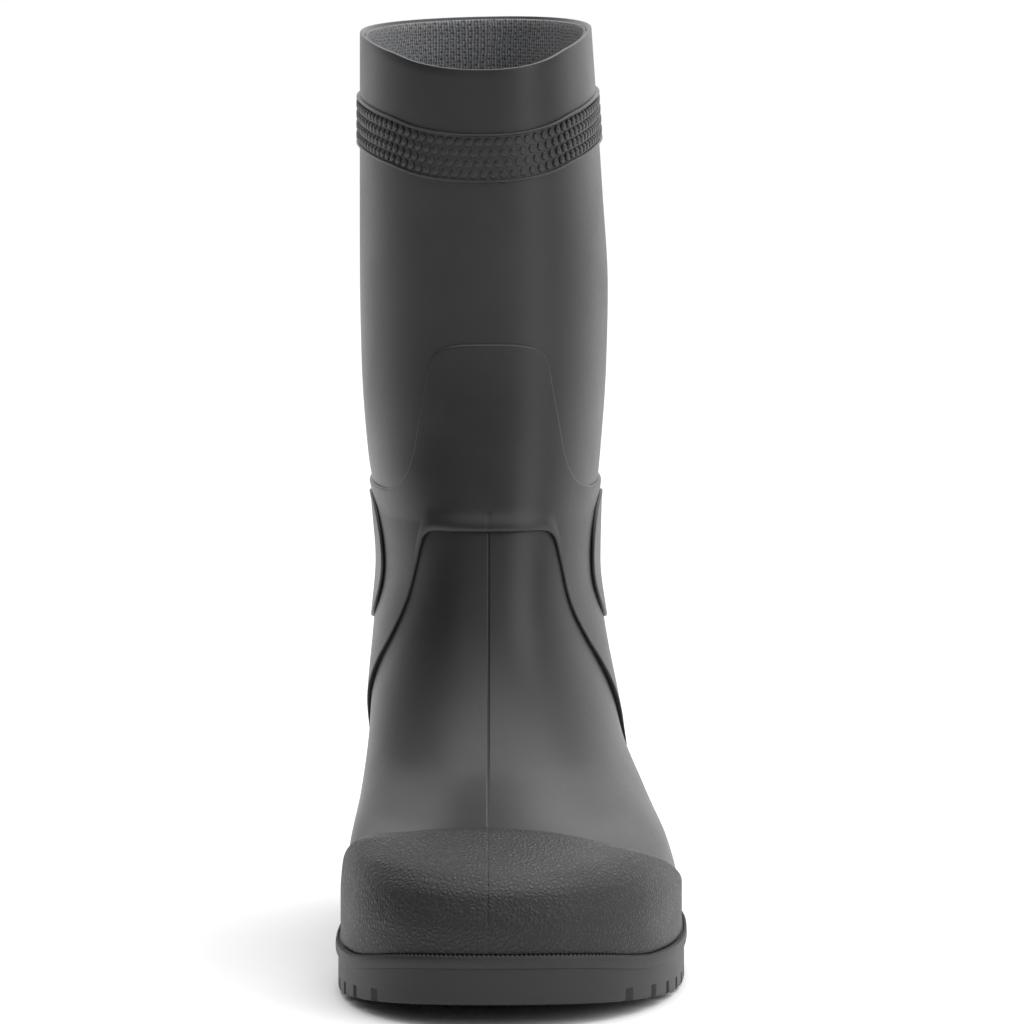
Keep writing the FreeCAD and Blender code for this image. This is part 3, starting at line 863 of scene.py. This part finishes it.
class BOOT_OT_kickoff_spur(bpy.types.Operator):
    """Ledge on the heel for pushing the boot off with the other foot"""
    bl_idname = "rain_boot.kickoff_spur"
    bl_label = "Kick-off spur"

    def execute(self, context):
        low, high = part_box("kickoff_spur")
        half_wide = (high.x - low.x) / 2
        tries = np.linspace(0.5, 1, 2001)
        middle_z = (low.z + high.z) / 2
        reached = np.abs(surface(tries, middle_z)[:, 0] - CENTRE_LINE)
        edge = float(np.interp(-half_wide, -reached, tries))
        away = np.linspace(-1, 1, 61)
        turn = 1 - (1 - edge) * away
        base, out = sizes().cover_thickness, 6.2 * MM
        # Cross-section from bottom to top, as shares of the height and of the ledge.
        profile = [(0.0, -0.15), (0.02, 0.0), (0.15, 0.22), (0.38, 0.60), (0.58, 0.88), (0.70, 0.97),
                   (0.80, 1.0), (0.88, 0.985), (0.945, 0.93), (0.985, 0.82), (1.0, 0.68), (1.0, 0.4),
                   (1.0, 0.0), (1.0, -0.15)]
        fade = np.sqrt(np.clip(1 - np.abs(away) ** 3.2, 0, 1))
        rows = []
        for up, ledge in profile:
            proud = base + ledge * out * np.where(ledge > 0, fade, 1)
            rows.append(surface(turn, low.z + up * (high.z - low.z), proud))
        piece = lay_grid("kickoff_spur", np.array(rows + rows[:1]))
        close_ends(piece)
        finish_piece(piece, "boot", satin_rubber(), "trim_rubber", "kickoff_spur")
        return {"FINISHED"}


# ---- The sole --------------------------------------------------------------
class BOOT_OT_welt(bpy.types.Operator):
    """Rounded welt round the top of the sole, notched along its inner edge"""
    bl_idname = "rain_boot.welt"
    bl_label = "Welt"

    def execute(self, context):
        size = sizes()
        tries = np.linspace(-1, 1, 20001)
        base_z = 15 * MM
        path = surface(tries, base_z)
        travelled = travelled_along(path)
        notches = int(travelled[-1] / size.notch_pitch)
        place = np.linspace(0, travelled[-1], 4 * notches + 1)
        turn = np.interp(place, travelled, tries)
        turn[0], turn[-1] = -1, 1
        notched = np.isin(np.arange(len(turn)) % 4, (1, 2)).astype(float)
        floor = sole_top(surface(turn, base_z)[:, 1])
        width, height = size.welt_width, size.welt_height
        # Cross-section: out from the upper and up from the sole; the last value is the notch's depth.
        profile = [(-0.6, 1.0, 0), (0.2, 0.92, 0), (0.50, 0.90, 0), (0.60, 0.91, 0), (0.64, 0.97, 1),
                   (0.74, 1.0, 1), (0.84, 0.97, 1), (0.90, 0.91, 0.6), (0.95, 0.82, 0), (0.985, 0.70, 0),
                   (1.0, 0.52, 0), (0.99, 0.34, 0), (0.95, 0.19, 0), (0.88, 0.08, 0), (0.79, 0.01, 0),
                   (0.68, 0.0, 0), (0.2, 0.0, 0), (-0.6, 0.0, 0)]
        rows = []
        for out, up, notch in profile:
            point = surface(turn, base_z, out * width)
            point[:, 2] = floor + up * height - 0.55 * MM * notch * notched
            rows.append(point)
        piece = lay_grid("welt", np.array(rows + rows[:1]))
        finish_piece(piece, "boot", matte_sole_rubber(), "sole_rubber", "welt")
        return {"FINISHED"}


# Side view of the tread: shares of the boot's length against millimetres above the ground
TREAD = [(-0.60, 12.0), (-0.50, 7.8), (-0.43, 5.2), (-0.36, 3.1), (-0.28, 1.1), (-0.20, 0.0)]
WAIST_FRONT = (0.025, 0.045)     # shares of the boot's length over which the waist rises
WAIST_BACK = (0.155, 0.175)      # and comes down again to the heel
WAIST_HEIGHT = 7 * MM
SOLE_INSET = 0.9 * MM            # the side wall stands back from the welt's edge
TREAD_SWEEP = math.radians(16)   # how the grooves sweep back from the centre
TOE_BUMPER = 12 * MM             # plain toe in front of the first groove
HEEL_BUMPER = 30 * MM            # plain heel behind the centre groove
DRAFT = (1.25, 0.85)             # a groove's width at its mouth and its top, as shares of its size


def tread_bottom(y):
    """Height of the outsole's underside, with the toe's spring and the raised waist."""
    share = np.asarray(y) / BOOT_LENGTH
    waist = ease(*WAIST_FRONT, share) * (1 - ease(*WAIST_BACK, share))
    return through(TREAD, share) * MM + WAIST_HEIGHT * waist


class BOOT_OT_outsole(bpy.types.Operator):
    """Outsole: side wall, raised waist and lugs parted by swept-back grooves"""
    bl_idname = "rain_boot.outsole"
    bl_label = "Outsole"

    def block(self):
        """The whole outsole before its grooves are cut."""
        size = sizes()
        turn = np.linspace(-1, 1, 481)
        base_z = 12 * MM
        out = size.welt_width - SOLE_INSET
        side = surface(turn, base_z, out)
        spine = side.copy()
        spine[:, 0] = CENTRE_LINE
        spine[:, 1] = np.clip(side[:, 1], side[:, 1].min() + 30 * MM, side[:, 1].max() - 25 * MM)
        radius = 0.9 * MM
        rows = []
        top_z = sole_top(side[:, 1])

        def row(share, grow, z):
            point = spine + share * (surface(turn, base_z, grow) - spine)
            point[:, 2] = z(point[:, 1])
            rows.append(point)

        for share in np.linspace(0, 1, 12):
            row(share, out, sole_top)
        foot_z = tread_bottom(side[:, 1])
        for down in np.linspace(0, 1, 14)[1:]:
            point = side.copy()
            point[:, 2] = top_z + down * (foot_z + radius - top_z)
            rows.append(point)
        for angle in np.linspace(0, math.pi / 2, 5)[1:]:
            point = surface(turn, base_z, out - radius * (1 - math.cos(angle)))
            point[:, 2] = foot_z + radius * (1 - math.sin(angle))
            rows.append(point)
        for share in np.linspace(0.97, 0, 40):
            row(share, out - radius, tread_bottom)
        return lay_grid("outsole_block", np.array(rows))

    def bar(self, name, runs):
        """Bars that cut the grooves: each is swept along a line on the ground, and its top
        keeps one tread depth above the outsole's underside."""
        points, faces = [], []
        low = -6 * MM
        mouth, top = DRAFT
        for line, half in runs:
            ahead = np.gradient(line, axis=0)
            ahead /= np.linalg.norm(ahead, axis=1, keepdims=True)
            sideways = np.stack([ahead[:, 1], -ahead[:, 0]], axis=1)
            start = len(points)
            for spot, off in zip(line, sideways):
                ceiling = float(tread_bottom(spot[1])) + sizes().tread_depth
                for side, height, widen in ((-1, low, mouth), (1, low, mouth),
                                            (1, ceiling, top), (-1, ceiling, top)):
                    corner = spot + side * widen * half * off
                    points.append((corner[0], corner[1], height))
            count = len(line)
            for k in range(count - 1):
                for c in range(4):
                    first, second = start + 4 * k + c, start + 4 * k + (c + 1) % 4
                    faces.append((first, second, second + 4, first + 4))
            last = start + 4 * (count - 1)
            faces.append((start + 3, start + 2, start + 1, start))
            faces.append((last, last + 1, last + 2, last + 3))
        mesh = bpy.data.meshes.new(name)
        mesh.from_pydata(points, [], faces)
        cutter = bpy.data.objects.new(name, mesh)
        bpy.context.scene.collection.objects.link(cutter)
        close_up(cutter)
        return cutter

    def cutters(self):
        size = sizes()
        sweep = math.tan(TREAD_SWEEP)
        half = BOOT_LENGTH / 2
        starts = np.arange(-half + TOE_BUMPER, half - size.tread_pitch, size.tread_pitch)
        made = []
        for side in (-1, 1):
            runs = []
            for y in starts:
                x = np.linspace(-1.5 * MM, 80 * MM, 22)
                line = np.stack([CENTRE_LINE + side * x, y + np.abs(x) * sweep], axis=1)
                runs.append((line, size.tread_groove / 2))
            made.append(self.bar("arms", runs))
        y = np.linspace(starts[0], half - HEEL_BUMPER, 60)
        channel = np.stack([np.full_like(y, CENTRE_LINE), y], axis=1)
        made.append(self.bar("channel", [(channel, size.tread_groove / 2)]))
        return made

    def execute(self, context):
        piece = self.block()
        piece.name = piece.data.name = "outsole_moulded"
        for cutter in self.cutters():
            make_active(piece)
            cut = piece.modifiers.new("Grooves", "BOOLEAN")
            cut.operation = "DIFFERENCE"
            cut.solver = "EXACT"
            cut.object = cutter
            bpy.ops.object.modifier_apply(modifier=cut.name)
            bpy.data.objects.remove(cutter)
        bevelled(piece, 0.35 * MM, 50, 1)
        finish_piece(piece, "boot", matte_sole_rubber(), "sole_rubber", "outsole")
        return {"FINISHED"}


class BOOT_OT_lining(bpy.types.Operator):
    """Knitted lining against the inside of the upper"""
    bl_idname = "rain_boot.lining"
    bl_label = "Lining"

    def execute(self, context):
        thick = sizes().lining_thickness
        turn = np.linspace(-1, 1, 241)
        low = sole_line(turn, grow=-4 * MM) + 2 * MM
        top = rim(turn) - 0.9 * MM
        z = low + np.linspace(0, 1, 110)[:, None] * (top - 0.6 * MM - low)
        outer = wall(rim(turn) - z) + LINING_GAP
        inside = surface(turn, z, -outer - thick)
        crown = surface(turn, top, -wall(0.9 * MM) - LINING_GAP - thick / 2)[None]
        outside = surface(turn, z[::-6], -outer[::-6])
        points = np.concatenate([inside, crown, outside, inside[:1]])
        ring = surface(turn, 0.25, 0)
        around = travelled_along(ring)
        pattern = np.stack([np.broadcast_to(around, points.shape[:2]), points[..., 2]], axis=-1)
        piece = lay_grid("lining", points, pattern)
        material = shared("Knitted lining", knit, list(colours().lining), 1.25 * MM, 2.3 * MM)
        finish_piece(piece, "boot", material, "knit_lining", "lining")
        return {"FINISHED"}


class BOOT_OT_insole(bpy.types.Operator):
    """Loose insole: a foam footbed with a raised rim at the heel, and its knitted cover"""
    bl_idname = "rain_boot.insole"
    bl_label = "Insole"

    def layer(self, name, low_rise, high_rise, inset, rounding):
        turn = np.linspace(-1, 1, 241)
        base_z = 15 * MM
        outline = surface(turn, base_z, -inset)
        spine = outline.copy()
        spine[:, 0] = CENTRE_LINE + 3 * MM
        ends = (outline[:, 1].min() + 34 * MM, outline[:, 1].max() - 28 * MM)
        spine[:, 1] = np.clip(outline[:, 1], *ends)

        def level(share, rise, cup):
            point = spine + share * (outline - spine)
            heel = ease(-0.02, 0.09, point[:, 1])
            edge = cup * heel * 2.6 * MM * ease(0.45, 1.0, share)
            crown = 0.35 * MM * (1 - share ** 2)
            point[:, 2] = sole_top(point[:, 1]) + rise + edge + crown * cup
            return point

        top_shares = np.concatenate([np.linspace(0, 0.96, 26), [0.975, 0.988]])
        rows = [level(share, high_rise, 1) for share in top_shares]
        rows += [level(0.996, high_rise - 0.3 * rounding, 1), level(1.0, high_rise - rounding, 1)]
        rows += [level(1.0, low_rise + 0.3 * MM, 0.0), level(0.99, low_rise, 0)]
        rows += [level(share, low_rise, 0) for share in (0.7, 0.35, 0.0)]
        points = np.array(rows)
        return lay_grid(name, points, points[..., :2].copy())

    def execute(self, context):
        size = sizes()
        inset = size.upper_wall + LINING_GAP + size.lining_thickness + INSOLE_SIDE_GAP
        foam_high = INSOLE_REST + FOAM_THICKNESS
        foam = self.layer("insole_foam", INSOLE_REST, foam_high, inset, 0.5 * MM)
        material = shared("Closed-cell foam", cut_foam, list(colours().foam))
        finish_piece(foam, "insole", material, "insole_foam", "insole_foam")
        cover = self.layer("insole_cover", foam_high - 0.25 * MM, foam_high + FOOTBED_THICKNESS, inset,
                           0.5 * MM)
        material = shared("Knitted insole cover", knit, list(colours().footbed), 1.1 * MM, 1.9 * MM)
        finish_piece(cover, "insole", material, "insole_fabric", "insole_cover")
        return {"FINISHED"}


class BOOT_OT_insole_board(bpy.types.Operator):
    """Fibre board under the insole: the designed solid with its own material"""
    bl_idname = "rain_boot.insole_board"
    bl_label = "Insole board"

    def execute(self, context):
        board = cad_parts["insole_board"]
        board.data.materials.clear()
        board.data.materials.append(shared("Pressed fibre board", fibre_board, list(colours().board)))
        return {"FINISHED"}


# ---- Studio ----------------------------------------------------------------
class BOOT_OT_studio(bpy.types.Operator):
    """Pale sweep, soft lights and the camera"""
    bl_idname = "rain_boot.studio"
    bl_label = "Studio"

    def softbox(self, name, place, aim, wide, tall, watts):
        light = bpy.data.lights.new(name, "AREA")
        light.shape = "RECTANGLE"
        light.size, light.size_y = wide, tall
        light.energy = watts
        lamp = bpy.data.objects.new(name, light)
        lamp.location = place
        lamp.rotation_euler = (Vector(aim) - Vector(place)).to_track_quat("-Z", "Y").to_euler()
        bpy.context.scene.collection.objects.link(lamp)

    def dome(self, scene):
        """White studio walls all round, brightest overhead and behind, dim by the camera and
        shaded at the left."""
        world = bpy.data.worlds.new("Studio")
        scene.world = world
        world.use_nodes = True
        tree = world.node_tree
        direction = add_node(tree, "ShaderNodeTexCoord").outputs["Generated"]
        parts = add_node(tree, "ShaderNodeSeparateXYZ", Vector=direction)
        up = ramp(tree, parts.outputs["Z"], 0.2, 0.95, 0.0, 1.15)
        behind = ramp(tree, parts.outputs["Y"], 0.1, 0.9, 0.0, 1.1)
        right = ramp(tree, parts.outputs["X"], 0.0, 0.9, 0.0, 0.40)
        total = add_node(tree, "ShaderNodeMath", {"operation": "ADD"}, _0=up, _1=behind)
        total = add_node(tree, "ShaderNodeMath", {"operation": "ADD"}, _0=total.outputs[0], _1=right)
        shade = ramp(tree, parts.outputs["X"], -0.85, -0.5, 0.25, 1.0)
        total = add_node(tree, "ShaderNodeMath", {"operation": "MULTIPLY"}, _0=total.outputs[0], _1=shade)
        level = add_node(tree, "ShaderNodeMath", {"operation": "ADD", 1: 0.05}, _0=total.outputs[0])
        background = tree.nodes["Background"]
        background.inputs["Color"].default_value = (1, 1, 1, 1)
        tree.links.new(level.outputs[0], background.inputs["Strength"])

    def execute(self, context):
        scene = context.scene
        deselect()
        bpy.ops.mesh.primitive_circle_add(vertices=96, radius=9.0, fill_type="NGON", location=(0, 0, 0))
        floor = context.object
        floor.name = "floor"
        floor.data.materials.append(studio_sweep("Seamless paper", "fbfbfb"))
        for corner in floor.data.vertices:
            corner.co.z = -0.2 * MM

        self.dome(scene)
        aim = (0, 0.02, 0.16)
        self.softbox("right softbox", (1.5, -0.9, 0.9), aim, 1.2, 1.4, 7)
        self.softbox("top softbox", (0.3, 0.2, 1.9), (0.1, 0.0, 0), 1.6, 2.4, 20)

        camera = bpy.data.cameras.new("Camera")
        camera.lens = 254.5
        camera.sensor_width = 36.0
        camera.clip_end = 50
        eye = bpy.data.objects.new("Camera", camera)
        eye.location = (0, -2.5, 0.43)
        target = Vector((0, 0, 0.1544))
        eye.rotation_euler = (target - eye.location).to_track_quat("-Z", "Y").to_euler()
        scene.collection.objects.link(eye)
        scene.camera = eye
        scene.view_settings.view_transform = "Standard"
        return {"FINISHED"}


class BOOT_PT_panel(bpy.types.Panel):
    """The boot's pieces and sizes"""
    bl_idname = "BOOT_PT_panel"
    bl_label = "Rain Boot"
    bl_space_type = "VIEW_3D"
    bl_region_type = "UI"
    bl_category = "Rain Boot"

    def draw(self, context):
        for group in (context.scene.boot_sizes, context.scene.boot_colours):
            box = self.layout.box()
            for key in type(group).__annotations__:
                box.prop(group, key)
        for operator in OPERATORS:
            self.layout.operator(operator.bl_idname)


OPERATORS = (BOOT_OT_upper, BOOT_OT_grip_band, BOOT_OT_ankle_cover, BOOT_OT_ankle_guards, BOOT_OT_toe_guard,
             BOOT_OT_kickoff_spur, BOOT_OT_welt, BOOT_OT_outsole, BOOT_OT_lining, BOOT_OT_insole,
             BOOT_OT_insole_board, BOOT_OT_studio)
CLASSES = (BootSizes, BootColours, *OPERATORS, BOOT_PT_panel)


def register():
    for cls in CLASSES:
        bpy.utils.register_class(cls)
    bpy.types.Scene.boot_sizes = PointerProperty(type=BootSizes)
    bpy.types.Scene.boot_colours = PointerProperty(type=BootColours)


def unregister():
    del bpy.types.Scene.boot_colours
    del bpy.types.Scene.boot_sizes
    for cls in reversed(CLASSES):
        bpy.utils.unregister_class(cls)


def main():
    register()
    for operator in OPERATORS:
        group, name = operator.bl_idname.split(".")
        getattr(getattr(bpy.ops, group), name)()


if __name__ == "__main__":
    main()
